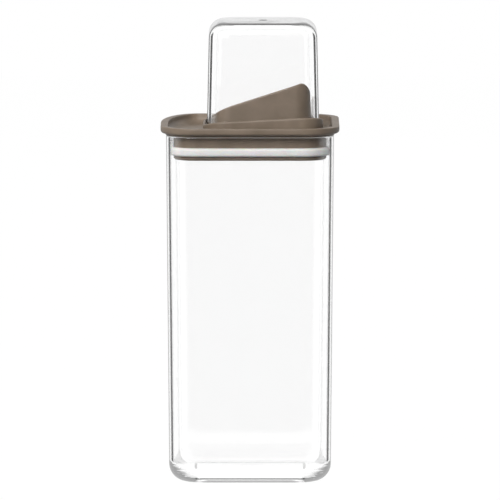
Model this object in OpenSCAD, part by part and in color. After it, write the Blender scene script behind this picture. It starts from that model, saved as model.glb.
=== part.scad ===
// Tall square storage container for cereal, with a plug-in lid.
// The lid carries a slanted pouring spout, and an upturned measuring cup caps the spout.
// Millimetres, +Z up, origin at the bottom centre of the container, front towards -Y.

/* [Container] */
// Height of the container without its lid
container_h = 223.7; // [160:0.1:300]
// Outside width at the mouth
mouth_w = 107.7; // [100:0.1:140]
// How much narrower the foot is than the mouth
foot_taper = 3.9; // [0:0.1:6]
// Thickness of the clear wall
wall = 2.4; // [1.6:0.1:3]
// Thickness of the floor
floor_t = 3; // [2:0.1:5]
// Plan radius of the four corners, outside
corner_r = 20; // [16:0.1:26]
// Radius of the edge between wall and floor, outside
bottom_r = 11.6; // [7:0.1:14]
// Depth of the recess inside the foot ring
foot_recess = 1.5; // [0.6:0.1:2.5]
// Width of the flat foot ring
foot_ring_w = 4.2; // [2:0.1:8]
// Diameter of the moulding gate mark under the floor
gate_d = 10; // [4:0.5:14]

/* [Lid] */
// How far the rim stands out past the container
rim_overhang = 3.55; // [2:0.05:5]
// Height of the rim's outer face
rim_h = 4.25; // [3:0.05:6]
// Width of the rim's flat top
rim_w = 4.8; // [3.5:0.1:6]
// Height of the step that lands on the container
step_h = 1.15; // [0.8:0.05:2]
// Radius of the rim's lower edge
rim_lower_r = 2; // [0.5:0.1:2.5]
// Radius of the small edges
edge_r = 0.7; // [0.3:0.05:0.9]
// How much the rim's corner radius exceeds the container's, besides the overhang
corner_ease = 2.4; // [0:0.1:2.9]
// Reach of the rim's heel corner, opposite the pouring corner, along the back
heel_back = 24; // [18:0.1:30]
// Reach of the heel corner along the left side
heel_side = 60; // [30:0.1:70]
// Fall of the rim's underside from its round edge to the step
shoulder_h = 0.3; // [0.1:0.05:0.5]
// Depth of the tray below the rim
tray_depth = 6.1; // [5.5:0.1:8]
// Radius between the tray's wall and its floor
tray_r = 4.6; // [2:0.1:4.8]
// How far the tray's wall leans in from the rim to its rounded foot
tray_lean = 0.8; // [0.2:0.1:1.5]
// Thickness of the tray floor and the plug wall
lid_wall = 1.9; // [1.4:0.1:2.4]
// Depth of the neck from the container's mouth to the gasket
neck_depth = 7.5; // [6:0.1:12]
// Distance between the neck and the container's inner wall
neck_gap = 2.5; // [1.5:0.1:3.5]

/* [Gasket and plate] */
// Height of the gasket
gasket_h = 5.7; // [4:0.1:8]
// Thickness of the plate's edge
plate_t = 2.4; // [1.6:0.1:4]
// Chamfer on the plate's lower edge
plate_chamfer = 0.9; // [0.3:0.1:1.4]
// Height of the plate's upstand inside the neck
upstand_h = 8.2; // [6.5:0.1:9]
// Thickness of the plate's upstand and web
plate_wall = 1.6; // [1.2:0.1:2]
// Width of a snap lug on the spout's duct
lug_w = 12; // [6:0.5:20]
// How far a snap lug stands out
lug_reach = 1.3; // [0.8:0.1:1.6]
// Height of the plate's web above the plate's lower face
web_lift = 2.2; // [1.6:0.1:3]

/* [Spout] */
// Outside width of the spout
spout_w = 63.1; // [50:0.1:64]
// Plan radius of the spout's corners, outside
spout_r = 11; // [8:0.1:14]
// Thickness of the spout's wall
spout_wall = 2; // [1.4:0.1:2.6]
// Height of the slanted edge above the rim at the spout's left front corner
spout_low = 9.8; // [6:0.1:12]
// Rise of the slanted edge per millimetre to the right
spout_slope = 0.32; // [0.15:0.005:0.4]
// Fall of the slanted edge per millimetre to the back
spout_fall = 0.22; // [0.1:0.01:0.3]
// How far the spout's wall leans in per millimetre of height
spout_lean = 0.045; // [0:0.005:0.06]
// Radius of the rounded tip
tip_r = 5.5; // [3:0.1:9]
// Least height of the spout above the groove
collar_h = 4.5; // [3:0.1:8]

/* [Cup socket] */
// Height of the socket's lip above the rim at its left front corner
lip_low = 2.9; // [2:0.1:6]
// Rise of the lip per millimetre to the right
lip_slope = 0.05; // [0:0.005:0.06]
// Fall of the lip per millimetre to the back
lip_fall = 0.15; // [0.08:0.01:0.2]
// Least height of the lip above the groove
lip_least = 1.5; // [1:0.1:2]
// Thickness of the lip
lip_wall = 2; // [1.4:0.1:2.6]
// Depth of the cup's groove below the rim
groove_depth = 2; // [1:0.1:3]
// Height of the ring seal at the spout's foot
ring_seal_h = 2.6; // [2:0.1:3]

/* [Measuring cup] */
// Height of the cup
cup_h = 67.7; // [50:0.1:90]
// How much narrower the closed end is than the mouth
cup_taper = 2.9; // [0:0.1:3]
// Thickness of the cup's wall
cup_wall = 2.4; // [1.6:0.1:2.6]
// Thickness of the cup's closed end
cup_end_t = 2.6; // [1.6:0.1:4]
// Radius of the edge round the closed end, outside
cup_end_r = 9.7; // [6:0.1:12]
// Plan radius of the cup's corners, outside
cup_corner_r = 12.4; // [10:0.1:15]
// Diameter of the gate mark on the closed end
cup_gate_d = 5.2; // [3:0.1:8]

/* [Clearances] */
// Gap between parts that come apart, at rest
rest_gap = 0.3; // [0.25:0.05:0.4]
// Gap between the cup and its socket
socket_gap = 0.5; // [0.4:0.05:0.7]
// Gap between pieces assembled for good
fit_gap = 0.2; // [0.1:0.05:0.3]
// Distance between the foot of the spout and the cup's inner wall
cup_play = 2.1; // [1.5:0.05:3]
// Gap between the socket's lip and the rounded foot of the tray's wall
corner_gap = 0.3; // [0.2:0.05:0.5]

/* [Hidden] */

// Steps in a plan corner, in the quarter circle of an edge and in that of a bead, and the sides of a
// round gate mark
corner_steps = 10;
edge_steps = 5;
bead_steps = 3;
gate_sides = 48;
// The ring seal's rounded face turns this far up and down from level
bead_turn = 60;

clear_grey = [0.86, 0.89, 0.90, 0.35];
taupe = [0.50, 0.44, 0.38];
silicone_white = [0.95, 0.95, 0.94];

// Container
mouth_half = mouth_w / 2;
foot_half = mouth_half - foot_taper / 2;
inner_mouth_half = mouth_half - wall;
inner_floor_z = foot_recess + floor_t;
gate_h = 0.3;

// Heights in the lid, measured up from the container's foot
land_z = container_h + rest_gap;
rim_under_z = land_z + step_h;
rim_top_z = rim_under_z + rim_h;
tray_z = rim_top_z - tray_depth;
tray_under_z = tray_z - lid_wall;
neck_z = land_z - neck_depth;
plate_top_z = neck_z - gasket_h;
plate_z = plate_top_z - plate_t;

// Half widths in the lid
rim_half = mouth_half + rim_overhang;
rim_r = corner_r + rim_overhang + corner_ease;
step_half = mouth_half + rest_gap;
step_r = corner_r + rest_gap;
throat_half = inner_mouth_half - rest_gap;
neck_half = inner_mouth_half - neck_gap;
neck_r = corner_r - wall - neck_gap;
tray_half = neck_half - lid_wall;
bulge_half = container_inner_half(neck_z - gasket_h / 2) - rest_gap;
upstand_half = neck_half - lid_wall - fit_gap;
tray_floor_half = rim_half - rim_w - tray_lean - tray_r;

// Spout and cup socket, about the spout's own centre towards the pouring corner
spout_half = spout_w / 2;
bore_half = spout_half - spout_wall;
cup_half = spout_half + cup_play + cup_wall;
groove_half = cup_half + socket_gap;
lip_half = groove_half + lip_wall;
spout_shift = tray_floor_half - lip_half - corner_gap;
spout_c = [spout_shift, -spout_shift];
lip_r = cup_corner_r + socket_gap + lip_wall;
groove_z = rim_top_z - groove_depth;
groove_under_z = groove_z - spout_wall;
duct_z = plate_z + fit_gap;
web_z = plate_z + web_lift;
hole_half = spout_half + fit_gap;
hole_r = spout_r + fit_gap;

// Measuring cup
cup_z = groove_z + rest_gap;
cup_top_z = cup_z + cup_h;
cup_inner_half = cup_half - cup_wall;
cup_end_half = cup_half - cup_taper / 2;
cup_inner_end_z = cup_top_z - cup_end_t;

// Half width of the container's outer wall at height z
function container_half(z) = foot_half + (mouth_half - foot_half) * z / container_h;
// Half width of the container's inner wall at height z
function container_inner_half(z) = container_half(z) - wall;
// Half width of the cup's outer wall at height z
function cup_outer_half(z) = cup_half + (cup_end_half - cup_half) * (z - cup_z) / cup_h;

// Height of the spout's slanted edge above a plan point p
function spout_edge_z(p) =
    let (
        // the edge in front view: a slanted line that a tip arc rounds off at the right
        right = spout_c[0] + spout_half,
        slope_a = atan(spout_slope),
        line_z = rim_top_z + spout_low + spout_slope * (p[0] - spout_c[0] + spout_half),
        tip_x = right - tip_r,
        tangent_x = tip_x - tip_r * sin(slope_a),
        tangent_z = rim_top_z + spout_low + spout_slope * (tangent_x - spout_c[0] + spout_half),
        centre_z = tangent_z - tip_r * cos(slope_a),
        run = min(p[0] - tip_x, tip_r),
        arc_z = centre_z + sqrt(tip_r * tip_r - run * run),
        front_z = p[0] < tangent_x ? line_z : arc_z,
        back = p[1] - spout_c[1] + spout_half
    )
    max(front_z - spout_fall * back, groove_z + collar_h);

// Height of the lip's edge above a plan point p: a plane that is highest at the pouring corner
function lip_edge_z(p) =
    let (
        right = p[0] - spout_c[0] + lip_half,
        back = p[1] - spout_c[1] + lip_half
    )
    max(rim_top_z + lip_low + lip_slope * right - lip_fall * back, groove_z + lip_least);

// Points round a square of half width h and corner radius r about centre c. They run round the right
// back, left back, left front and right front corners. The left back one is an ellipse that reaches
// further than r by the two values of heel, along the back and along the left side.
function square_plan(h, r, c = [0, 0], heel = [0, 0]) = [
    for (corner = [0:3], i = [0:corner_steps])
        let (
            a = 90 * (corner + i / corner_steps),
            reach = corner == 1 ? [r + heel[0], r + heel[1]] : [r, r],
            sx = (corner == 0 || corner == 3) ? 1 : -1,
            sy = corner < 2 ? 1 : -1
        )
        [c[0] + sx * (h - reach[0]) + reach[0] * cos(a), c[1] + sy * (h - reach[1]) + reach[1] * sin(a)]
];

// A level ring at height z
function ring(h, r, z, c = [0, 0], heel = [0, 0]) = [
    for (p = square_plan(h, r, c, heel)) [p[0], p[1], z]
];

// Rings of a round edge that runs from angle a0 to a1 in the plane of half width and height.
// The round has radius e and centre (h, z), and the plan radius at its centre is r.
function round_rings(h, r, z, e, a0, a1, c = [0, 0], heel = [0, 0], steps = edge_steps) = [
    for (i = [0:steps])
        let (a = a0 + (a1 - a0) * i / steps)
        ring(h + e * cos(a), r + e * cos(a), z + e * sin(a), c, heel)
];

// Rings of the rounded top of a wall of half widths h_out and h_in. Its heights follow the edge that
// is chosen by name, read at the wall's outer face. The bead is a half circle as wide as the wall, and
// the wall leans in by lean for each millimetre above the groove.
function edge_bead(h_out, h_in, r_out, c, edge, lean = 0) =
    let (
        mid = (h_out + h_in) / 2,
        bead = (h_out - h_in) / 2,
        outline = square_plan(h_out, r_out, c),
        heights = [for (p = outline) edge == "spout" ? spout_edge_z(p) : lip_edge_z(p)]
    )
    [
        for (i = [0:2 * bead_steps])
            let (
                a = 180 * i / (2 * bead_steps),
                h = mid + bead * cos(a),
                plan = square_plan(h, r_out - h_out + h, c),
                inward = square_plan(h - 1, r_out - h_out + h - 1, c)
            )
            [
                for (k = [0:len(plan) - 1])
                    let (p = plan[k] + lean * (heights[k] - groove_z) * (inward[k] - plan[k]))
                    [p[0], p[1], heights[k] - bead + bead * sin(a)]
            ]
    ];

// Skin over a list of rings. A closed loft joins its last ring to its first and has a way through it,
// and an open one is capped at both ends.
module loft(rings, closed = false) {
    n = len(rings[0]);
    m = len(rings);
    sides = [
        for (j = [0:m - (closed ? 1 : 2)], i = [0:n - 1])
            let (k = (j + 1) % m, l = (i + 1) % n)
            each [[j * n + i, k * n + i, k * n + l], [j * n + i, k * n + l, j * n + l]]
    ];
    caps = closed ? [] : [[for (i = [0:n - 1]) i], [for (i = [n - 1:-1:0]) (m - 1) * n + i]];
    polyhedron([for (r = rings, p = r) p], concat(sides, caps), convexity = 8);
}

// Clear square jar: foot ring, rounded bottom edge, drafted wall and rounded mouth
module container() {
    inner_r = corner_r - wall;
    inner_bottom_r = bottom_r - wall;
    low_half = container_half(bottom_r) - bottom_r;
    inner_low_half = container_inner_half(inner_floor_z + inner_bottom_r) - inner_bottom_r;
    ring_half = low_half - foot_ring_w;
    color(clear_grey) {
        loft(concat(
            [ring(ring_half - foot_recess, corner_r - bottom_r - foot_recess, foot_recess)],
            [ring(ring_half, corner_r - bottom_r, 0)],
            round_rings(low_half, corner_r - bottom_r, bottom_r, bottom_r, -90, 0),
            round_rings(mouth_half - edge_r, corner_r - edge_r, container_h - edge_r, edge_r, 0, 90,
                        steps = bead_steps),
            round_rings(inner_mouth_half + edge_r, inner_r + edge_r, container_h - edge_r, edge_r, 90, 180,
                        steps = bead_steps),
            round_rings(inner_low_half, inner_r - inner_bottom_r, inner_floor_z + inner_bottom_r,
                        inner_bottom_r, 0, -90)
        ));
        translate([0, 0, foot_recess - gate_h]) cylinder(d = gate_d, h = 2 * gate_h, $fn = gate_sides);
    }
}

// Brown lid: overhanging rim, sunk tray with the spout's opening, and the neck of the plug
module lid_frame() {
    heel = [heel_back - rim_r, heel_side - rim_r];
    wall_half = rim_half - rim_w;
    wall_r = rim_r - rim_w;
    lower_half = rim_half - rim_lower_r;
    lower_r = rim_r - rim_lower_r;
    floor_r = wall_r - tray_lean - tray_r;
    flare_r = throat_half - neck_half;
    color(taupe) loft(concat(
        // neck and the hollow flare above it
        [ring(tray_half, neck_r - lid_wall, neck_z)],
        [ring(neck_half, neck_r, neck_z)],
        round_rings(throat_half, neck_r + flare_r, land_z - flare_r, -flare_r, 0, -90, steps = bead_steps),
        // step on the container's mouth, which the rim leaves uncovered at the heel
        [ring(step_half, step_r, land_z)],
        [ring(step_half, step_r, rim_under_z - shoulder_h)],
        // rim's outer face, with a large round below and a small one above
        round_rings(lower_half, lower_r, rim_under_z + rim_lower_r, rim_lower_r, -90, 0, heel = heel),
        round_rings(rim_half - edge_r, rim_r - edge_r, rim_top_z - edge_r, edge_r, 0, 90,
                    heel = heel, steps = bead_steps),
        // rim's inner face and the rounded foot of the tray's wall
        round_rings(wall_half + edge_r, wall_r + edge_r, rim_top_z - edge_r, edge_r, 90, 180,
                    heel = heel, steps = bead_steps),
        round_rings(tray_floor_half, floor_r, tray_z + tray_r, tray_r, 0, -90, heel = heel),
        // opening for the spout's duct and the underside of the tray
        [ring(hole_half, hole_r, tray_z, spout_c)],
        [ring(hole_half, hole_r, tray_under_z, spout_c)],
        [ring(tray_half, neck_r - lid_wall, tray_under_z)]
    ), closed = true);
}

// Brown spout: cup socket with an inclined lip, groove, slanted spout and the duct down through the lid
module spout_insert() {
    c = spout_c;
    skirt_half = lip_half - lip_wall;
    skirt_r = lip_r - lip_wall;
    root_half = spout_half + spout_wall;
    root_r = spout_r + spout_wall;
    color(taupe) {
        loft(concat(
            [ring(lip_half, lip_r, tray_z, c)],
            edge_bead(lip_half, groove_half, lip_r, c, "lip"),
            [ring(groove_half, lip_r - lip_wall, groove_z, c)],
            [ring(spout_half, spout_r, groove_z, c)],
            edge_bead(spout_half, bore_half, spout_r, c, "spout", spout_lean),
            [ring(bore_half, spout_r - spout_wall, duct_z, c)],
            [ring(spout_half, spout_r, duct_z, c)],
            [ring(spout_half, spout_r, tray_z, c)],
            [ring(root_half, root_r, tray_z, c)],
            [ring(root_half, root_r, groove_under_z, c)],
            [ring(skirt_half, skirt_r, groove_under_z, c)],
            [ring(skirt_half, skirt_r, tray_z, c)]
        ), closed = true);
        for (side = [0:3])
            translate([c[0], c[1], 0]) rotate([0, 0, 90 * side])
                translate([spout_half, lug_w / 2, 0]) rotate([90, 0, 0])
                    linear_extrude(lug_w)
                        polygon([
                            [-spout_wall / 2, web_z - fit_gap],
                            [lug_reach, web_z - fit_gap],
                            [0, duct_z],
                            [-spout_wall / 2, duct_z]
                        ]);
    }
}

// Silicone ring that seals the cup's mouth against the foot of the spout
module cup_seal() {
    seal_half = cup_inner_half - rest_gap;
    seal_r = cup_corner_r - cup_wall - rest_gap;
    bead = (seal_half - spout_half) / 2;
    color(taupe) loft(concat(
        [ring(spout_half, spout_r, groove_z, spout_c)],
        [ring(seal_half - bead, seal_r - bead, groove_z, spout_c)],
        round_rings(seal_half - bead, seal_r - bead, groove_z + ring_seal_h / 2, bead, -bead_turn, bead_turn,
                    c = spout_c, steps = bead_steps),
        [ring(seal_half - bead, seal_r - bead, groove_z + ring_seal_h, spout_c)],
        [ring(spout_half, spout_r, groove_z + ring_seal_h, spout_c)]
    ), closed = true);
}

// White barrel-shaped gasket, gripped between the neck and the plate
module lid_seal() {
    bulge = bulge_half - neck_half;
    gasket_in = upstand_half + fit_gap / 2;
    gasket_in_r = neck_r - lid_wall - fit_gap / 2;
    color(silicone_white) loft(concat(
        [ring(gasket_in, gasket_in_r, plate_top_z)],
        [for (i = [0:2 * edge_steps])
            let (t = i / edge_steps - 1, d = bulge * sqrt(max(0, 1 - pow(t, 4))))
            ring(neck_half + d, neck_r + d, plate_top_z + gasket_h / 2 * (1 + t))],
        [ring(gasket_in, gasket_in_r, neck_z)]
    ), closed = true);
}

// Brown plate that clamps the gasket from below and snaps onto the duct
module retainer_plate() {
    inner_half = upstand_half - plate_wall;
    upstand_r = neck_r - lid_wall - fit_gap;
    color(taupe) loft(concat(
        [ring(upstand_half, upstand_r, plate_top_z)],
        [ring(upstand_half, upstand_r, plate_top_z + upstand_h)],
        [ring(inner_half, upstand_r - plate_wall, plate_top_z + upstand_h)],
        [ring(inner_half, upstand_r - plate_wall, web_z + plate_wall)],
        [ring(hole_half, hole_r, web_z + plate_wall, spout_c)],
        [ring(hole_half, hole_r, web_z, spout_c)],
        [ring(inner_half - plate_wall, upstand_r - 2 * plate_wall, web_z)],
        [ring(inner_half - plate_wall, upstand_r - 2 * plate_wall, plate_z)],
        [ring(neck_half - plate_chamfer, neck_r - plate_chamfer, plate_z)],
        [ring(neck_half, neck_r, plate_z + plate_chamfer)],
        [ring(neck_half, neck_r, plate_top_z)]
    ), closed = true);
}

// Clear measuring cup, mouth down over the spout
module measuring_cup() {
    inner_r = cup_corner_r - cup_wall;
    inner_end_r = cup_end_r - cup_wall;
    end_half = cup_outer_half(cup_top_z - cup_end_r) - cup_end_r;
    inner_half = cup_outer_half(cup_inner_end_z - inner_end_r) - cup_wall - inner_end_r;
    color(clear_grey) difference() {
        loft(concat(
            round_rings(inner_half, inner_r - inner_end_r, cup_inner_end_z - inner_end_r, inner_end_r, 90, 0,
                        c = spout_c),
            round_rings(cup_inner_half + edge_r, inner_r + edge_r, cup_z + edge_r, edge_r, 180, 270,
                        c = spout_c, steps = bead_steps),
            round_rings(cup_half - edge_r, cup_corner_r - edge_r, cup_z + edge_r, edge_r, 270, 360,
                        c = spout_c, steps = bead_steps),
            round_rings(end_half, cup_corner_r - cup_end_r, cup_top_z - cup_end_r, cup_end_r, 0, 90,
                        c = spout_c)
        ));
        translate([spout_c[0], spout_c[1], cup_top_z - gate_h])
            cylinder(d = cup_gate_d, h = 2 * gate_h, $fn = gate_sides);
    }
}

container();
lid_frame();
spout_insert();
cup_seal();
lid_seal();
retainer_plate();
measuring_cup();
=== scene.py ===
"""Visual model of a clear square cereal container with a pouring lid and a measuring cup.

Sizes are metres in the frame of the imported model: +Z up, the origin under the middle of the foot and the
front towards -Y. Every piece is a skin of rounded square rings, and stands for the solid of its name.
"""
import logging
import math
from collections.abc import Callable, Sequence
from dataclasses import dataclass
from enum import Enum
from typing import NamedTuple

import bpy
import numpy as np
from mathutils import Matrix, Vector


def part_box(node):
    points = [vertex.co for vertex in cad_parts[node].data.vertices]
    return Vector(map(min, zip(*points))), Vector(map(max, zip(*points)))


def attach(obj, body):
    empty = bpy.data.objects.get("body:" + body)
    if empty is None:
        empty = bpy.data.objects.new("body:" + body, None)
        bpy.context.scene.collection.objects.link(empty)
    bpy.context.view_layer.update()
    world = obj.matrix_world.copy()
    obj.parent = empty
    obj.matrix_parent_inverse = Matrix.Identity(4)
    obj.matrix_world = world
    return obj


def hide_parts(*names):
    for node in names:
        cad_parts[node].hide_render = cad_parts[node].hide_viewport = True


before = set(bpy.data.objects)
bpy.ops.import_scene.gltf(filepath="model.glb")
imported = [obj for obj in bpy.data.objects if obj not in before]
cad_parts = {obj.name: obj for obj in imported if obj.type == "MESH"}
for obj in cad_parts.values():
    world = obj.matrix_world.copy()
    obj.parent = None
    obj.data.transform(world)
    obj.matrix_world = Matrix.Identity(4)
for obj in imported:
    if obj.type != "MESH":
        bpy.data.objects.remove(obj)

log = logging.getLogger("cereal_container")

# Steps of the grids: along a plan corner, a straight side, a rounded edge and the bead on a wall
CORNER_STEPS = 24
SIDE_STEPS = 12
EDGE_STEPS = 8
BEAD_STEPS = 14
# Rings beside the end of a long face keep the shading of the face flat
NEAR_EDGE = 0.0005
# Lengths smaller than this are divided by this instead, and points closer than SAME_POINT are one
TINY = 1e-9
SAME_POINT = 1e-7
# Edges sharper than this show as a crease
CREASE = math.radians(40)
# Only the left back corner of a ring takes the heel
HEEL_CORNER = np.array([0.0, 1.0, 0.0, 0.0])
# The spout stands off centre towards the right front corner
POUR_WAY = np.array([1.0, -1.0])
# Warm grey brown of the lid and of what matches it
TAUPE = "#7F7061"
DEEP_TAUPE = "#776A5B"
# Light of the studio
WHITE = "#FFFFFF"


class Body(Enum):
    """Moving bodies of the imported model."""

    JAR = "jar"
    LID = "lid"
    CUP = "cup"


class Slot(Enum):
    """Material slots of the record."""

    CLEAR_SHELL = "clear_shell"
    CLEAR_CUP = "clear_cup"
    TAUPE_LID = "taupe_lid"
    TAUPE_SPOUT = "taupe_spout"
    TAUPE_PLATE = "taupe_plate"
    GASKET = "silicone_gasket"
    RING = "silicone_ring"


class Corner(NamedTuple):
    """A corner in the section of a wall, before its edge is rounded.

    The left back corner of its ring reaches further than the plan radius by heel_back along the back and
    by heel_side along the left side.
    """

    half: float
    height: float
    radius: float
    edge: float = 0.0
    heel_back: float = 0.0
    heel_side: float = 0.0
    shift: float = 0.0


# Shapes


def section(corners: Sequence[Corner], closed: bool = False) -> np.ndarray:
    """Section line of a wall, with an arc at each of its corners.

    a and b are the unit vectors from a corner to its neighbours, and s is half the angle between them. An
    arc of radius e has its centre e / sin(s) from the corner along a + b. Each point of the arc is the
    corner plus a share of the way to each neighbour, which gives its plan radius and centre as well.

    Args:
        corners: the section's corners in order.
        closed: whether the last corner joins the first.

    Returns:
        One row for each ring: half width, height, plan radius, the heel's two reaches and shift.
    """
    table = np.array(corners)
    edge, values = table[:, 3].copy(), np.delete(table, 3, axis=1)
    if not closed:
        edge[[0, -1]] = 0.0
    to_last = np.roll(values, 1, axis=0) - values
    to_next = np.roll(values, -1, axis=0) - values
    last_length = np.linalg.norm(to_last[:, :2], axis=1)
    next_length = np.linalg.norm(to_next[:, :2], axis=1)
    a, b = to_last[:, :2] / last_length[:, None], to_next[:, :2] / next_length[:, None]
    cosine = np.clip((a * b).sum(axis=1), -1.0, 1.0)
    s = np.arccos(cosine) / 2
    middle, across = a + b, a - b
    middle = middle / np.maximum(np.linalg.norm(middle, axis=1), TINY)[:, None]
    across = across / np.maximum(np.linalg.norm(across, axis=1), TINY)[:, None]
    turn = (math.pi / 2 - s)[:, None] * np.linspace(1, -1, EDGE_STEPS + 1)
    out = (edge / np.sin(s))[:, None] - edge[:, None] * np.cos(turn)
    side = edge[:, None] * np.sin(turn)
    offset = out[..., None] * middle[:, None] + side[..., None] * across[:, None]
    along_a, along_b = (offset * a[:, None]).sum(axis=2), (offset * b[:, None]).sum(axis=2)
    skew = np.maximum(1 - cosine**2, TINY)[:, None]
    last_share = (along_a - cosine[:, None] * along_b) / skew / last_length[:, None]
    next_share = (along_b - cosine[:, None] * along_a) / skew / next_length[:, None]
    line = values[:, None] + last_share[..., None] * to_last[:, None]
    line = (line + next_share[..., None] * to_next[:, None]).reshape(-1, values.shape[1])
    fresh = np.linalg.norm(np.diff(line, axis=0, prepend=line[:1] - 1), axis=1) > SAME_POINT
    return line[fresh]


def supported(line: np.ndarray) -> np.ndarray:
    """Section line with a ring put in beside both ends of each long face.

    Args:
        line: rows of a section line.

    Returns:
        The rows, with two more inside each face longer than four times NEAR_EDGE.
    """
    way = np.diff(line, axis=0)
    length = np.linalg.norm(way[:, :2], axis=1)
    long = np.flatnonzero(length > 4 * NEAR_EDGE)
    step = way[long] * (NEAR_EDGE / length[long])[:, None]
    extra = np.stack([line[long] + step, line[long + 1] - step], axis=1)
    return np.insert(line, np.repeat(long + 1, 2), extra.reshape(-1, line.shape[1]), axis=0)


def square_plan(half: np.ndarray, radii: np.ndarray) -> np.ndarray:
    """Points round squares with rounded corners.

    Each corner is a quarter of an ellipse with semi-axes a along x and b along y, about a point that lies
    a and b inside the two sides. Points on the straight sides run as half a cosine wave, so they crowd
    towards the corners.

    Args:
        half: half width of each square, shape (m,).
        radii: semi-axes of each square's corners, from the right back corner to the left, shape (m, 4, 2).

    Returns:
        Plan points, shape (m, n, 2).
    """
    signs = np.array([[1, 1], [-1, 1], [-1, -1], [1, -1]])
    angle = np.arange(4)[:, None] * math.pi / 2 + np.linspace(0, math.pi / 2, CORNER_STEPS + 1)
    round_way = np.stack([np.cos(angle), np.sin(angle)], axis=-1)
    centre = signs * (half[:, None, None] - radii)
    arcs = centre[:, :, None] + radii[:, :, None] * round_way
    share = (1 - np.cos(math.pi * np.arange(1, SIDE_STEPS) / SIDE_STEPS))[:, None] / 2
    start, end = arcs[:, :, -1:], np.roll(arcs[:, :, :1], -1, axis=1)
    sides = start + (end - start) * share
    return np.concatenate([arcs, sides], axis=2).reshape(len(half), -1, 2)


def rings(line: np.ndarray) -> np.ndarray:
    """Rings of a section line.

    Args:
        line: rows of half width, height, plan radius, the heel's two reaches and shift.

    Returns:
        Points in space, shape (m, n, 3).
    """
    half, height, radius, shift = line[:, [0, 1, 2, 5]].T
    heel = HEEL_CORNER[:, None] * line[:, None, 3:5]
    plan = square_plan(half, radius[:, None, None] + heel) + (shift[:, None] * POUR_WAY)[:, None]
    level = np.broadcast_to(height[:, None, None], (*plan.shape[:2], 1))
    return np.concatenate([plan, level], axis=2)


def walled(corners: Sequence[Corner], closed: bool = False) -> np.ndarray:
    """Grid of rings for the corners of a section."""
    return rings(supported(section(corners, closed)))


def bead(
    outer: Corner, inner_half: float, edge: Callable[[np.ndarray], np.ndarray], lean: float = 0.0
) -> np.ndarray:
    """Rings over the rounded top of a wall whose edge isn't level.

    The bead is a half circle as wide as the wall. It stands on the edge's height, read at the wall's
    outer face, so the wall keeps one thickness. A point whose edge stands h above the foot of the wall is
    moved square to the face, inwards, by lean times h.

    Args:
        outer: the wall's outer face at its foot.
        inner_half: half width of its inner face.
        edge: gives the edge's height over plan points of shape (n, 2).
        lean: how far the wall leans in for each unit of height.

    Returns:
        Points in space from the outer face to the inner one, shape (m, n, 3).
    """
    angle = np.linspace(0, math.pi, BEAD_STEPS + 1)
    size = (outer.half - inner_half) / 2
    in_from_face = size - size * np.cos(angle)
    line = np.delete(np.array([outer] * len(angle)), 3, axis=1)
    line[:, [0, 2]] -= in_from_face[:, None]
    grid = rings(line)
    height = edge(grid[0, :, :2])
    line[:, [0, 2]] -= NEAR_EDGE
    inwards = (rings(line) - grid) / NEAR_EDGE
    grid += inwards * (lean * (height - outer.height))[:, None]
    grid[..., 2] = height - size + size * np.sin(angle)[:, None]
    drop = np.array([0, 0, NEAR_EDGE])
    return np.concatenate([grid[:1] - drop, grid, grid[-1:] - drop])


def above(corner: Corner) -> Corner:
    """Plain corner a little above a corner, for a wall that goes on upwards."""
    return corner._replace(height=corner.height + 4 * NEAR_EDGE, edge=0.0)


def skin(name: str, grid: np.ndarray, closed: bool) -> bpy.types.Object:
    """Piece whose surface runs over a grid of rings.

    Four neighbouring points make a face. A closed grid joins its last ring to its first, and an open one
    ends in a fan of triangles about the middle of each end ring. The volume is the sum over the faces'
    triangles of p . (q x r) / 6, and where it is negative the faces are turned round.

    Args:
        name: the piece's name.
        grid: points in space, shape (m, n, 3).
        closed: whether the rings form a loop.

    Returns:
        The piece, at the origin.
    """
    rows, columns = grid.shape[:2]
    j = np.arange(rows if closed else rows - 1)[:, None] * columns
    k = (j + columns) % (rows * columns)
    i = np.arange(columns)
    beside = (i + 1) % columns
    quads = np.stack([j + i, j + beside, k + beside, k + i], axis=-1).reshape(-1, 4)
    points = grid.reshape(-1, 3)
    fans = np.empty((0, 3), int)
    if not closed:
        pole = rows * columns
        last = pole - columns
        points = np.concatenate([points, grid[:1].mean(axis=1), grid[-1:].mean(axis=1)])
        first_fan = np.stack([beside, i, 0 * i + pole], axis=1)
        last_fan = np.stack([last + i, last + beside, 0 * i + pole + 1], axis=1)
        fans = np.concatenate([first_fan, last_fan])
    corners = points[np.concatenate([quads[:, :3], quads[:, [0, 2, 3]], fans])]
    volume = (corners[:, 0] * np.cross(corners[:, 1], corners[:, 2])).sum() / 6
    if volume < 0:
        quads, fans = quads[:, ::-1], fans[:, ::-1]
    mesh = bpy.data.meshes.new(name)
    mesh.from_pydata(points.tolist(), [], quads.tolist() + fans.tolist())
    mesh.shade_smooth()
    mesh.set_sharp_from_angle(angle=CREASE)
    piece = bpy.data.objects.new(name, mesh)
    bpy.context.scene.collection.objects.link(piece)
    return piece


def reach(node: str) -> tuple[Vector, Vector, float]:
    """Box of a CAD node.

    Args:
        node: the node's name.

    Returns:
        Its lowest corner, its highest corner and half its width.
    """
    low, high = (Vector(corner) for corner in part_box(node))
    return low, high, (high.x - low.x) / 2


# Finishes


def linear(colour: str) -> tuple[float, float, float, float]:
    """Linear RGBA of an sRGB hex colour.

    A channel c is c / 12.92 up to 0.04045, and ((c + 0.055) / 1.055) to the power 2.4 above it.

    Args:
        colour: six hex digits after a hash.

    Returns:
        The linear colour with alpha 1.
    """
    channels = np.array([int(colour[i : i + 2], 16) for i in (1, 3, 5)]) / 255
    light = np.where(channels <= 0.04045, channels / 12.92, ((channels + 0.055) / 1.055) ** 2.4)
    return (*light.tolist(), 1.0)


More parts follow.
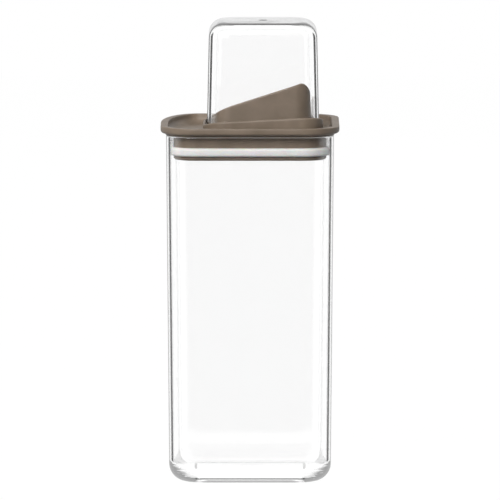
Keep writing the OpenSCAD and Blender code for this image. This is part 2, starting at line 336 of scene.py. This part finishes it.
def add(
    tree: bpy.types.NodeTree, kind: str, feeds: dict | None = None, **settings: object
) -> bpy.types.Node:
    """Adds a node to a tree.

    Args:
        tree: the tree.
        kind: the node's type.
        feeds: what goes into each input, by name or number: another node's output or a plain value.
        settings: the node's own properties.

    Returns:
        The node.
    """
    node = tree.nodes.new(kind)
    for name, value in settings.items():
        setattr(node, name, value)
    for key, source in (feeds or {}).items():
        if isinstance(source, bpy.types.NodeSocket):
            tree.links.new(source, node.inputs[key])
        else:
            node.inputs[key].default_value = source
    return node


def empty_material(name: str) -> tuple[bpy.types.Material, bpy.types.NodeTree]:
    """New material with an empty node tree.

    Args:
        name: the material's name.

    Returns:
        The material and its tree.
    """
    material = bpy.data.materials.new(name)
    material.use_nodes = True
    material.node_tree.nodes.clear()
    return material, material.node_tree


def combine(
    tree: bpy.types.NodeTree,
    operation: str,
    first: bpy.types.NodeSocket | float,
    second: bpy.types.NodeSocket | float,
) -> bpy.types.NodeSocket:
    """Result of a calculation with two values.

    Args:
        tree: the tree.
        operation: the math node's operation.
        first: its first value.
        second: its second value.

    Returns:
        The result's output.
    """
    return add(tree, "ShaderNodeMath", {0: first, 1: second}, operation=operation).outputs[0]


def soft_step(
    tree: bpy.types.NodeTree,
    source: bpy.types.NodeSocket,
    span: tuple[float, float],
    start: bpy.types.NodeSocket | float,
    end: bpy.types.NodeSocket | float,
) -> bpy.types.NodeSocket:
    """Value that passes smoothly from one level to another.

    With t running from 0 to 1 over the span, the share of the second level is 3 t squared - 2 t cubed.

    Args:
        tree: the tree.
        source: the value that is followed.
        span: where the source starts and ends the change.
        start: the level before the span.
        end: the level after it.

    Returns:
        The level's output.
    """
    feeds = {"Value": source, "From Min": span[0], "From Max": span[1], "To Min": start, "To Max": end}
    return add(tree, "ShaderNodeMapRange", feeds, interpolation_type="SMOOTHSTEP").outputs["Result"]


def blend(
    tree: bpy.types.NodeTree,
    share: bpy.types.NodeSocket,
    first: bpy.types.NodeSocket | float,
    second: bpy.types.NodeSocket | float,
) -> bpy.types.NodeSocket:
    """Value between two others.

    Args:
        tree: the tree.
        share: the second value's share.
        first: the value at a share of 0.
        second: the value at a share of 1.

    Returns:
        The mixed value's output.
    """
    return add(tree, "ShaderNodeMix", {0: share, 2: first, 3: second}, data_type="FLOAT").outputs[0]


@dataclass(frozen=True)
class ClearPlastic:
    """SAN, a clear styrene plastic, injection moulded in a polished tool.

    It is colourless with a trace of grey, bends light more than acrylic does, and has a high gloss with
    the slow waviness that cooling leaves in a wall. Light goes through it to what stands inside.
    """

    name: str = "clear_san_polished"
    body: str = "#FEFEFE"
    # painted shade: the grey that the glass turns where it is seen edge-on, which draws dark outlines on
    # its curved edges
    rim: str = "#D8DADB"
    ior: float = 1.57
    gloss: tuple[float, float] = (0.0, 0.02)
    # cooling waves 45 mm across and 0.05 mm deep
    wave_size: float = 0.045
    wave_depth: float = 0.00005
    # where the painted edge shade starts, by how edge-on the glass is seen
    edge_shade_start: float = 0.72
    # light bent more often than this is let straight out of a thick corner, by the share way_out
    bends: float = 5.5
    way_out: float = 0.45

    def material(self) -> bpy.types.Material:
        """Builds the material.

        Returns:
            Glass whose colour greys where it is seen edge-on, a painted shade that draws its dark edges,
            and a clear way through for lamps, bounced light and lost light.
        """
        material, tree = empty_material(self.name)
        place = add(tree, "ShaderNodeTexCoord").outputs["Object"]
        feeds = {"Vector": place, "Scale": 1 / self.wave_size, "Detail": 1.0}
        wave = add(tree, "ShaderNodeTexNoise", feeds).outputs["Fac"]
        low, high = self.gloss
        rough = add(tree, "ShaderNodeMapRange", {"Value": wave, "To Min": low, "To Max": high})
        bump = add(tree, "ShaderNodeBump", {"Height": wave, "Distance": self.wave_depth})
        # painted shade: the colour passes from the body's to the rim grey as the surface turns edge-on
        facing = add(tree, "ShaderNodeLayerWeight", {"Blend": 0.5})
        edge = soft_step(tree, facing.outputs["Facing"], (self.edge_shade_start, 1.0), 0.0, 1.0)
        edge_shaded_colour = add(
            tree,
            "ShaderNodeMix",
            {0: edge, 6: linear(self.body), 7: linear(self.rim)},
            data_type="RGBA",
        )
        glass = add(
            tree,
            "ShaderNodeBsdfPrincipled",
            {
                "Base Color": edge_shaded_colour.outputs[2],
                "Roughness": rough.outputs["Result"],
                "IOR": self.ior,
                "Transmission Weight": 1.0,
                "Normal": bump.outputs["Normal"],
            },
        )
        path = add(tree, "ShaderNodeLightPath").outputs
        lit = combine(tree, "MAXIMUM", path["Is Shadow Ray"], path["Is Diffuse Ray"])
        late = combine(tree, "GREATER_THAN", path["Ray Depth"], self.bends)
        straight = combine(tree, "MAXIMUM", lit, combine(tree, "MULTIPLY", late, self.way_out))
        clear = add(tree, "ShaderNodeBsdfTransparent", {"Color": linear(self.body)})
        mix = add(tree, "ShaderNodeMixShader", {0: straight, 1: glass.outputs[0], 2: clear.outputs[0]})
        add(tree, "ShaderNodeOutputMaterial", {"Surface": mix.outputs[0]})
        return material


@dataclass(frozen=True)
class SatinPlastic:
    """Polypropylene, injection moulded in a tool with a fine spark-eroded grain.

    It is a warm grey brown, satin and slightly waxy, with faint clouds of tone from the colour masterbatch.
    """

    name: str
    colour: str = TAUPE
    pale: str = "#877868"
    deep: str = "#766858"
    roughness: tuple[float, float] = (0.38, 0.5)
    ior: float = 1.49
    # real grain is 0.1 mm across, drawn 0.7 mm across so that it shows
    grain: float = 0.0007
    grain_depth: float = 0.000012
    # clouds of tone 14 mm across, and where in their noise the deep and the pale tone stand
    cloud: float = 0.014
    tones: tuple[float, float] = (0.3, 0.7)

    def material(self) -> bpy.types.Material:
        """Builds the material.

        Returns:
            Satin plastic with clouded colour and a fine grain.
        """
        material, tree = empty_material(self.name)
        place = add(tree, "ShaderNodeTexCoord").outputs["Object"]
        clouds = add(tree, "ShaderNodeTexNoise", {"Vector": place, "Scale": 1 / self.cloud, "Detail": 3.0})
        feeds = {"Vector": place, "Scale": 1 / self.grain, "Detail": 2.0}
        grain = add(tree, "ShaderNodeTexNoise", feeds).outputs["Fac"]
        ramp = add(tree, "ShaderNodeValToRGB", {"Fac": clouds.outputs["Fac"]})
        stops = ramp.color_ramp.elements
        stops[0].position, stops[0].color = self.tones[0], linear(self.deep)
        stops[1].position, stops[1].color = self.tones[1], linear(self.pale)
        stops.new(sum(self.tones) / 2).color = linear(self.colour)
        low, high = self.roughness
        rough = add(tree, "ShaderNodeMapRange", {"Value": grain, "To Min": low, "To Max": high})
        bump = add(tree, "ShaderNodeBump", {"Height": grain, "Distance": self.grain_depth})
        surface = add(
            tree,
            "ShaderNodeBsdfPrincipled",
            {
                "Base Color": ramp.outputs["Color"],
                "Roughness": rough.outputs["Result"],
                "IOR": self.ior,
                "Normal": bump.outputs["Normal"],
            },
        )
        add(tree, "ShaderNodeOutputMaterial", {"Surface": surface.outputs[0]})
        return material


@dataclass(frozen=True)
class Silicone:
    """Food grade silicone, compression moulded.

    It is milky white, or dyed, with a soft skin: light enters it a little way, and its gloss is low and
    uneven where dust and handling have left it.
    """

    name: str
    colour: str = "#FAFAF8"
    shade: str = "#ECECE9"
    roughness: tuple[float, float] = (0.4, 0.55)
    ior: float = 1.41
    # light spreads 1.5 mm inside it, by the share milkiness
    milkiness: float = 0.25
    spread: float = 0.0015
    mottle: float = 0.006
    mottle_depth: float = 0.00002

    def material(self) -> bpy.types.Material:
        """Builds the material.

        Returns:
            Milky rubber with a mottled gloss.
        """
        material, tree = empty_material(self.name)
        place = add(tree, "ShaderNodeTexCoord").outputs["Object"]
        feeds = {"Vector": place, "Scale": 1 / self.mottle, "Detail": 3.0}
        mottle = add(tree, "ShaderNodeTexNoise", feeds).outputs["Fac"]
        tone = add(
            tree,
            "ShaderNodeMix",
            {0: mottle, 6: linear(self.colour), 7: linear(self.shade)},
            data_type="RGBA",
        )
        low, high = self.roughness
        rough = add(tree, "ShaderNodeMapRange", {"Value": mottle, "To Min": low, "To Max": high})
        bump = add(tree, "ShaderNodeBump", {"Height": mottle, "Distance": self.mottle_depth})
        surface = add(
            tree,
            "ShaderNodeBsdfPrincipled",
            {
                "Base Color": tone.outputs[2],
                "Roughness": rough.outputs["Result"],
                "IOR": self.ior,
                "Subsurface Weight": self.milkiness,
                "Subsurface Scale": self.spread,
                "Normal": bump.outputs["Normal"],
            },
        )
        add(tree, "ShaderNodeOutputMaterial", {"Surface": surface.outputs[0]})
        return material


def place_piece(piece: bpy.types.Object, material: bpy.types.Material, body: Body) -> None:
    """Dresses a piece, puts it in the place of the CAD node of its name and reports it.

    Args:
        piece: the piece, named as its node with "_form" after it.
        material: its finish.
        body: the moving body that it rides on.
    """
    piece.data.materials.append(material)
    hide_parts(piece.name.removesuffix("_form"))
    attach(piece, body.value)
    faces = len(piece.data.polygons)
    log.info("%s: %d faces, %s on %s", piece.name, faces, material.name, body.value)


# Sub-assemblies


@dataclass
class Jar:
    """Clear square container: foot ring, rounded foot, drafted wall and rounded mouth."""

    wall: float = 0.0024
    floor: float = 0.003
    corner: float = 0.020
    foot_round: float = 0.0116
    foot_taper: float = 0.0039
    recess: float = 0.0015
    ring_width: float = 0.0042
    ring_slope: float = 0.001
    lip_round: float = 0.0007
    gate: float = 0.0051
    gate_width: float = 0.0008
    gate_height: float = 0.0003

    def form(self) -> bpy.types.Object:
        """Builds the wall, the floor and the gate ring under it.

        Returns:
            The container's piece.
        """
        _, high, mouth = reach("container")
        foot = mouth - self.foot_taper / 2
        inner_foot, inner_floor = foot - self.wall, self.recess + self.floor
        inner_corner, inner_round = self.corner - self.wall, self.foot_round - self.wall
        ring = foot - self.foot_round - self.ring_width
        ring_corner = self.corner - self.foot_round
        soft = self.gate_width / 4
        under = [
            (self.gate - self.gate_width, 0.0),
            (self.gate - self.gate_width, self.gate_height),
            (self.gate, self.gate_height),
            (self.gate, 0.0),
        ]
        corners = [Corner(soft, self.recess, soft)]
        corners += [Corner(half, self.recess - drop, half, soft) for half, drop in under]
        corners += [
            Corner(ring - self.recess, self.recess, ring_corner, self.ring_slope / 2),
            Corner(ring, 0.0, ring_corner, self.ring_slope / 2),
            Corner(foot, 0.0, self.corner, self.foot_round),
            Corner(mouth, high.z, self.corner, self.lip_round),
            Corner(mouth - self.wall, high.z, inner_corner, self.lip_round),
            Corner(inner_foot, inner_floor, inner_corner, inner_round),
            Corner(soft, inner_floor, soft),
        ]
        return skin("container_form", walled(corners), closed=False)

    def build(self, finish: ClearPlastic) -> None:
        """Makes and dresses the container."""
        place_piece(self.form(), finish.material(), Body.JAR)


@dataclass
class Lid:
    """Lid frame with its rim, tray and neck, and the gasket and plate that close the plug."""

    corner: float = 0.020
    rim_height: float = 0.00425
    rim_width: float = 0.0048
    rim_low_round: float = 0.002
    edge: float = 0.0007
    fine_edge: float = 0.0003
    corner_ease: float = 0.0024
    heel_back: float = 0.024
    heel_side: float = 0.060
    step: float = 0.00115
    shoulder: float = 0.0003
    tray_depth: float = 0.0061
    tray_round: float = 0.0046
    tray_lean: float = 0.0008
    wall: float = 0.0019
    neck_gap: float = 0.0025
    jar_wall: float = 0.0024
    rest_gap: float = 0.0003
    fit_gap: float = 0.0002
    plate_edge: float = 0.0024
    plate_chamfer: float = 0.0009
    plate_wall: float = 0.0016
    web_lift: float = 0.0022
    spout_corner: float = 0.011

    def frame_form(self) -> bpy.types.Object:
        """Builds the rim, the step on the container, the flare, the neck and the tray.

        Returns:
            The lid frame's piece.
        """
        low, high, rim = reach("lid_frame")
        mouth = reach("container")[2]
        spout_low, spout_high, _ = reach("spout_insert")
        shift = (spout_low.x + spout_high.x) / 2
        top, under = high.z, high.z - self.rim_height
        land = under - self.step
        tray = top - self.tray_depth
        neck = mouth - self.jar_wall - self.neck_gap
        throat = mouth - self.jar_wall - self.rest_gap
        neck_corner = self.corner - self.jar_wall - self.neck_gap
        rim_corner = self.corner + rim - mouth + self.corner_ease
        heel = (self.heel_back - rim_corner, self.heel_side - rim_corner)
        inner, inner_corner = neck - self.wall, neck_corner - self.wall
        wall, wall_corner = rim - self.rim_width, rim_corner - self.rim_width
        foot, foot_corner = wall - self.tray_lean, wall_corner - self.tray_lean
        step, step_corner = mouth + self.rest_gap, self.corner + self.rest_gap
        hole, hole_corner = Spout.width / 2 + self.fit_gap, self.spout_corner + self.fit_gap
        fine, no_heel = self.fine_edge, (0.0, 0.0)
        corners = [
            Corner(rim, top, rim_corner, self.edge, *heel),
            Corner(rim, under, rim_corner, self.rim_low_round, *heel),
            Corner(step, under - self.shoulder, step_corner, fine / 2),
            Corner(step, land, step_corner, fine),
            Corner(neck, land, neck_corner, throat - neck),
            Corner(neck, low.z, neck_corner, fine),
            Corner(inner, low.z, inner_corner, fine),
            Corner(inner, tray - self.wall, inner_corner, self.edge),
            Corner(hole, tray - self.wall, hole_corner, fine, *no_heel, shift),
            Corner(hole, tray, hole_corner, fine, *no_heel, shift),
            Corner(foot, tray, foot_corner, self.tray_round, *heel),
            Corner(wall, top, wall_corner, self.edge, *heel),
        ]
        return skin("lid_frame_form", walled(corners, closed=True), closed=True)

    def gasket_form(self) -> bpy.types.Object:
        """Builds the barrel-shaped gasket.

        Its outer face bulges by d times the root of one minus t to the fourth power, with t running from
        -1 at the bottom to 1 at the top.

        Returns:
            The gasket's piece.
        """
        low, high, bulge = reach("lid_seal")
        plate = reach("retainer_plate")[2]
        inner = plate - self.wall - self.fit_gap / 2
        neck_corner = self.corner - self.jar_wall - self.neck_gap
        t = np.linspace(-1, 1, 4 * EDGE_STEPS + 1)
        swell = (bulge - plate) * np.sqrt(1 - t**4)
        height = low.z + (high.z - low.z) * (1 + t) / 2
        outer = np.stack([plate + swell, height, neck_corner + swell, 0 * t, 0 * t, 0 * t], axis=1)
        inner_row = [inner, high.z, neck_corner - self.wall, 0.0, 0.0, 0.0]
        line = np.concatenate([outer, [inner_row, [inner, low.z, *inner_row[2:]]]])
        return skin("lid_seal_form", rings(line), closed=True)

    def plate_form(self) -> bpy.types.Object:
        """Builds the plate below the gasket, its upstand in the neck and its web round the duct.

        Returns:
            The plate's piece.
        """
        low, high, plate = reach("retainer_plate")
        spout_low, spout_high, _ = reach("spout_insert")
        shift = (spout_low.x + spout_high.x) / 2
        plate_corner = self.corner - self.jar_wall - self.neck_gap
        ledge = low.z + self.plate_edge
        outer, outer_corner = plate - self.wall - self.fit_gap, plate_corner - self.wall - self.fit_gap
        inner, inner_corner = outer - self.plate_wall, outer_corner - self.plate_wall
        step, step_corner = inner - self.plate_wall, inner_corner - self.plate_wall
        web = low.z + self.web_lift
        hole, hole_corner = Spout.width / 2 + self.fit_gap, self.spout_corner + self.fit_gap
        fine, no_heel = self.fine_edge, (0.0, 0.0)
        corners = [
            Corner(outer, ledge, outer_corner, fine),
            Corner(outer, high.z, outer_corner, fine),
            Corner(inner, high.z, inner_corner, fine),
            Corner(inner, web + self.plate_wall, inner_corner, fine),
            Corner(hole, web + self.plate_wall, hole_corner, fine, *no_heel, shift),
            Corner(hole, web, hole_corner, fine, *no_heel, shift),
            Corner(step, web, step_corner, fine),
            Corner(step, low.z, step_corner, fine),
            Corner(plate - self.plate_chamfer, low.z, plate_corner - self.plate_chamfer, fine),
            Corner(plate, low.z + self.plate_chamfer, plate_corner, fine),
            Corner(plate, ledge, plate_corner, fine),
        ]
        return skin("retainer_plate_form", walled(corners, closed=True), closed=True)

    def build(self, finish: SatinPlastic, plate_finish: SatinPlastic, gasket_finish: Silicone) -> None:
        """Makes and dresses the lid frame, the plate and the gasket.

        Args:
            finish: the lid frame's finish.
            plate_finish: the plate's.
            gasket_finish: the gasket's.
        """
        place_piece(self.frame_form(), finish.material(), Body.LID)
        place_piece(self.plate_form(), plate_finish.material(), Body.LID)
        place_piece(self.gasket_form(), gasket_finish.material(), Body.LID)


@dataclass
class Spout:
    """Slanted spout with the cup's socket round it, and the ring seal at its foot."""

    width: float = 0.0631
    corner: float = 0.011
    wall: float = 0.002
    low_edge: float = 0.0098
    slope: float = 0.32
    fall: float = 0.22
    lean: float = 0.045
    tip: float = 0.0055
    collar: float = 0.0045
    lip_low: float = 0.0029
    lip_slope: float = 0.05
    lip_fall: float = 0.15
    lip_least: float = 0.0015
    lip_wall: float = 0.002
    groove_depth: float = 0.002
    tray_depth: float = 0.0061
    socket_corner: float = 0.0129
    fit_gap: float = 0.0002
    seal_corner: float = 0.0097
    seal_turn: float = math.radians(60)
    edge: float = 0.0003

    def __post_init__(self) -> None:
        """Takes the socket's place and size from the frame."""
        self.base, self.peak, self.lip = reach("spout_insert")
        self.shift = (self.base.x + self.peak.x) / 2
        self.rim_top = reach("lid_frame")[1].z
        self.groove = self.rim_top - self.groove_depth
        self.half = self.width / 2
        self.middle = self.shift * POUR_WAY

    def spout_edge(self, plan: np.ndarray) -> np.ndarray:
        """Height of the spout's edge: a slanted line in front view, ended by the tip's arc.

        It falls to the back by a share of the depth, and never below the collar.

        Args:
            plan: plan points, shape (n, 2).

        Returns:
            Heights, shape (n,).
        """
        left, front = self.middle - self.half
        lean = math.atan(self.slope)
        start = self.rim_top + self.low_edge
        tip_x = left + self.width - self.tip
        meet = tip_x - self.tip * math.sin(lean)
        tip_z = start + self.slope * (meet - left) - self.tip * math.cos(lean)
        run = np.clip(plan[:, 0] - tip_x, -self.tip, self.tip)
        arc = tip_z + np.sqrt(self.tip**2 - run**2)
        line = start + self.slope * (plan[:, 0] - left)
        height = np.where(plan[:, 0] < meet, line, arc) - self.fall * (plan[:, 1] - front)
        return np.maximum(height, self.groove + self.collar)

    def lip_edge(self, plan: np.ndarray) -> np.ndarray:
        """Height of the lip's edge: it rises to the right, falls to the back and keeps a least height.

        Args:
            plan: plan points, shape (n, 2).

        Returns:
            Heights, shape (n,).
        """
        right, back = (plan - self.middle + self.lip).T
        height = self.rim_top + self.lip_low + self.lip_slope * right - self.lip_fall * back
        return np.maximum(height, self.groove + self.lip_least)

    def insert_form(self) -> bpy.types.Object:
        """Builds the lip, the groove, the spout and its duct as one closed wall.

        Returns:
            The spout's piece.
        """
        tray, groove, duct = self.rim_top - self.tray_depth, self.groove, self.base.z
        under = groove - self.wall
        lip_corner = self.socket_corner + self.lip_wall
        skirt, skirt_corner = self.lip - self.lip_wall, self.socket_corner
        bore, bore_corner = self.half - self.wall, self.corner - self.wall
        root, root_corner = self.half + self.wall, self.corner + self.wall
        ending = (self.edge, 0.0, 0.0, self.shift)
        face = Corner(self.lip, tray, lip_corner, *ending)
        trough = [
            Corner(skirt, groove, skirt_corner, *ending),
            Corner(self.half, groove, self.corner, *ending),
        ]
        down = [
            Corner(bore, duct, bore_corner, *ending),
            Corner(self.half, duct, self.corner, *ending),
            Corner(self.half, tray, self.corner, *ending),
            Corner(root, tray, root_corner, *ending),
            Corner(root, under, root_corner, *ending),
            Corner(skirt, under, skirt_corner, *ending),
            Corner(skirt, tray, skirt_corner, *ending),
            face,
        ]
        grid = np.concatenate([
            bead(face, skirt, self.lip_edge),
            rings(supported(section([above(trough[0]), *trough, above(trough[-1])]))),
            bead(trough[-1], bore, self.spout_edge, self.lean),
            rings(supported(section([above(down[0]), *down, above(face)]))),
        ])
        return skin("spout_insert_form", grid, closed=True)

    def seal_form(self) -> bpy.types.Object:
        """Builds the ring seal: a flat band on the spout with a soft bead in its middle.

        Returns:
            The ring seal's piece.
        """
        low, high, outer = reach("cup_seal")
        size = (outer - self.half) / 2
        band, band_corner = outer - size, self.seal_corner
        angle = np.linspace(-self.seal_turn, self.seal_turn, 2 * EDGE_STEPS + 1)
        half = band + size * np.cos(angle)
        middle = (low.z + high.z) / 2
        line = np.stack([half, middle + size * np.sin(angle), band_corner + half - band], axis=1)
        ends = np.array([
            [band, high.z, band_corner],
            [self.half, high.z, self.corner],
            [self.half, low.z, self.corner],
            [band, low.z, band_corner],
        ])
        line = np.concatenate([line, ends])
        no_heel = np.zeros((len(line), 2))
        line = np.column_stack([line, no_heel, np.full(len(line), self.shift)])
        return skin("cup_seal_form", rings(line), closed=True)

    def build(self, finish: SatinPlastic, seal_finish: Silicone) -> None:
        """Makes and dresses the spout and its ring seal.

        Args:
            finish: the spout's finish.
            seal_finish: the ring seal's.
        """
        place_piece(self.insert_form(), finish.material(), Body.LID)
        place_piece(self.seal_form(), seal_finish.material(), Body.LID)


@dataclass
class MeasuringCup:
    """Clear cup that stands mouth down over the spout."""

    wall: float = 0.0024
    end: float = 0.0026
    taper: float = 0.0029
    corner: float = 0.0124
    end_round: float = 0.0097
    mouth_round: float = 0.0007
    gate: float = 0.0026
    gate_depth: float = 0.0003

    def form(self) -> bpy.types.Object:
        """Builds the wall and the closed end with its gate mark.

        Returns:
            The cup's piece.
        """
        low, high, mouth = reach("measuring_cup")
        shift = (low.x + high.x) / 2
        tip = mouth - self.taper / 2
        inner_corner, inner_round = self.corner - self.wall, self.end_round - self.wall
        inner_top = high.z - self.end
        soft = self.gate_depth
        inner_tip = tip - self.wall
        corners = [
            Corner(soft, inner_top, soft),
            Corner(inner_tip, inner_top, inner_corner, inner_round),
            Corner(mouth - self.wall, low.z, inner_corner, self.mouth_round),
            Corner(mouth, low.z, self.corner, self.mouth_round),
            Corner(tip, high.z, self.corner, self.end_round),
            Corner(self.gate, high.z, self.gate, soft / 2),
            Corner(self.gate, high.z - self.gate_depth, self.gate, soft / 2),
            Corner(soft, high.z - self.gate_depth, soft),
        ]
        line = supported(section(corners))
        line[:, -1] = shift
        return skin("measuring_cup_form", rings(line), closed=False)

    def build(self, finish: ClearPlastic) -> None:
        """Makes and dresses the cup."""
        place_piece(self.form(), finish.material(), Body.CUP)


# Studio


class Softbox(NamedTuple):
    """Square soft lamp: its place, side and power in watts, and whether a gloss shows it."""

    name: str
    place: tuple[float, float, float]
    size: float
    power: float
    glint: bool


@dataclass
class Studio:
    """White sweep, soft lamps and a long lens from the front."""

    # camera: a long lens far off, as wide as the picture at the object
    distance: float = 6.8
    camera_height: float = 0.848
    aim_height: float = 0.146
    view_width: float = 0.3225
    sensor: float = 36.0
    # floor: its tone under the lamps, and its glow where it is looked at
    floor_radius: float = 3.0
    floor_sides: int = 96
    floor_drop: float = 0.0003
    floor_tone: str = "#606060"
    floor_glow: float = 1.17
    glow_share: float = 0.85
    # room: its light from below and from above, and where one passes into the other
    low_level: float = 0.06
    high_level: float = 0.12
    horizon: tuple[float, float] = (-0.1, 0.35)
    # room as clear plastic shows it: white through a wall, dark towards the diagonals
    through: float = 1.15
    side_level: float = 0.0
    diagonal: tuple[float, float] = (0.41, 0.48)
    # room as a gloss shows it: white sweep at the back, and where the dark front passes into it
    mirrored: float = 0.75
    sweep: tuple[float, float] = (-0.6, -0.1)
    # front of the room: dark, with a pale table below the object
    dark_level: float = 0.06
    table_level: float = 0.85
    table: tuple[float, float] = (-0.24, -0.14)
    # lamps, which all point at one place
    lamp_aim: tuple[float, float, float] = (0.0, 0.0, 0.2)
    lamps: tuple[Softbox, ...] = (
        Softbox("front_softbox", (-0.75, -1.75, 1.5), 1.4, 57.0, True),
        Softbox("rear_softbox", (0.8, 2.0, 0.75), 1.2, 7.0, False),
    )

    def camera(self) -> None:
        """Sets the camera: it looks along +Y and a little down, and view_width fills the frame."""
        data = bpy.data.cameras.new("camera")
        camera = bpy.data.objects.new("camera", data)
        bpy.context.scene.collection.objects.link(camera)
        camera.location = (0.0, -self.distance, self.camera_height)
        way = Vector((0.0, self.distance, self.aim_height - self.camera_height))
        camera.rotation_euler = way.to_track_quat("-Z", "Y").to_euler()
        data.sensor_width = self.sensor
        data.lens = self.sensor * way.length / self.view_width
        bpy.context.scene.camera = camera

    def world(self) -> None:
        """Sets the world: white where it is seen, a plain level where it lights.

        Clear plastic bends its rim rays to the sides. For those rays the world is dark towards its four
        diagonals, where the product of x and y is largest, and that draws the wall's edges. A gloss shows
        the white sweep behind the object. Both show the dark room and its pale table in front of it.
        """
        world = bpy.data.worlds.new("studio")
        bpy.context.scene.world = world
        world.use_nodes = True
        tree = world.node_tree
        tree.nodes.clear()
        way = add(tree, "ShaderNodeTexCoord").outputs["Generated"]
        x, y, z = add(tree, "ShaderNodeSeparateXYZ", {0: way}).outputs
        path = add(tree, "ShaderNodeLightPath").outputs
        size = combine(tree, "ABSOLUTE", combine(tree, "MULTIPLY", x, y), 0.0)
        bright = soft_step(tree, size, self.diagonal, self.through, self.side_level)
        sky = soft_step(tree, z, self.horizon, self.low_level, self.high_level)
        room = soft_step(tree, z, self.horizon, self.dark_level, self.high_level)
        room = soft_step(tree, z, self.table, self.table_level, room)
        behind = blend(tree, path["Is Transmission Ray"], self.mirrored, bright)
        shown = soft_step(tree, y, self.sweep, room, behind)
        bent = combine(tree, "MAXIMUM", path["Is Glossy Ray"], path["Is Transmission Ray"])
        level = blend(tree, bent, sky, shown)
        level = blend(tree, path["Is Camera Ray"], level, 1.0)
        light = add(tree, "ShaderNodeBackground", {"Color": linear(WHITE), "Strength": level})
        add(tree, "ShaderNodeOutputWorld", {"Surface": light.outputs[0]})

    def floor(self) -> None:
        """Lays the floor: a white disc that keeps a faint shadow of the object."""
        turn = np.linspace(0, 2 * math.pi, self.floor_sides, endpoint=False)
        points = np.stack([np.cos(turn), np.sin(turn), 0 * turn], axis=1) * self.floor_radius
        points[:, 2] = -self.floor_drop
        mesh = bpy.data.meshes.new("floor")
        mesh.from_pydata(points.tolist(), [], [list(range(len(points)))])
        floor = bpy.data.objects.new("floor", mesh)
        bpy.context.scene.collection.objects.link(floor)
        material, tree = empty_material("white_sweep")
        matt = add(tree, "ShaderNodeBsdfDiffuse", {"Color": linear(self.floor_tone)}).outputs[0]
        white = {"Color": linear(WHITE), "Strength": self.floor_glow}
        glow = add(tree, "ShaderNodeEmission", white).outputs[0]
        path = add(tree, "ShaderNodeLightPath").outputs
        share = combine(tree, "MULTIPLY", path["Is Camera Ray"], self.glow_share)
        mix = add(tree, "ShaderNodeMixShader", {0: share, 1: matt, 2: glow})
        add(tree, "ShaderNodeOutputMaterial", {"Surface": mix.outputs[0]})
        mesh.materials.append(material)
        floor.visible_transmission = False
        floor.visible_glossy = False

    def lamp(self, softbox: Softbox) -> None:
        """Hangs a lamp that points at the lid and isn't seen through clear plastic.

        Args:
            softbox: the lamp.
        """
        data = bpy.data.lights.new(softbox.name, "AREA")
        data.shape, data.size, data.energy = "SQUARE", softbox.size, softbox.power
        lamp = bpy.data.objects.new(softbox.name, data)
        bpy.context.scene.collection.objects.link(lamp)
        lamp.location = softbox.place
        lamp.visible_transmission = False
        lamp.visible_glossy = softbox.glint
        way = Vector(self.lamp_aim) - Vector(softbox.place)
        lamp.rotation_euler = way.to_track_quat("-Z", "Y").to_euler()

    def build(self) -> None:
        """Sets up the whole studio."""
        self.camera()
        self.world()
        self.floor()
        for softbox in self.lamps:
            self.lamp(softbox)
        bpy.context.scene.view_settings.view_transform = "Standard"


def main() -> None:
    logging.basicConfig(level=logging.INFO, format="%(name)s: %(message)s")
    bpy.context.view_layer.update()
    Studio().build()
    clear = ClearPlastic()
    Jar().build(clear)
    Lid().build(
        SatinPlastic("taupe_polypropylene_lid"),
        SatinPlastic("taupe_polypropylene_plate"),
        Silicone("milky_silicone_gasket"),
    )
    Spout().build(
        SatinPlastic("taupe_polypropylene_spout"),
        Silicone("taupe_silicone_ring", colour=TAUPE, shade=DEEP_TAUPE),
    )
    MeasuringCup().build(ClearPlastic("clear_san_cup", way_out=0.15))


if __name__ == "__main__":
    main()
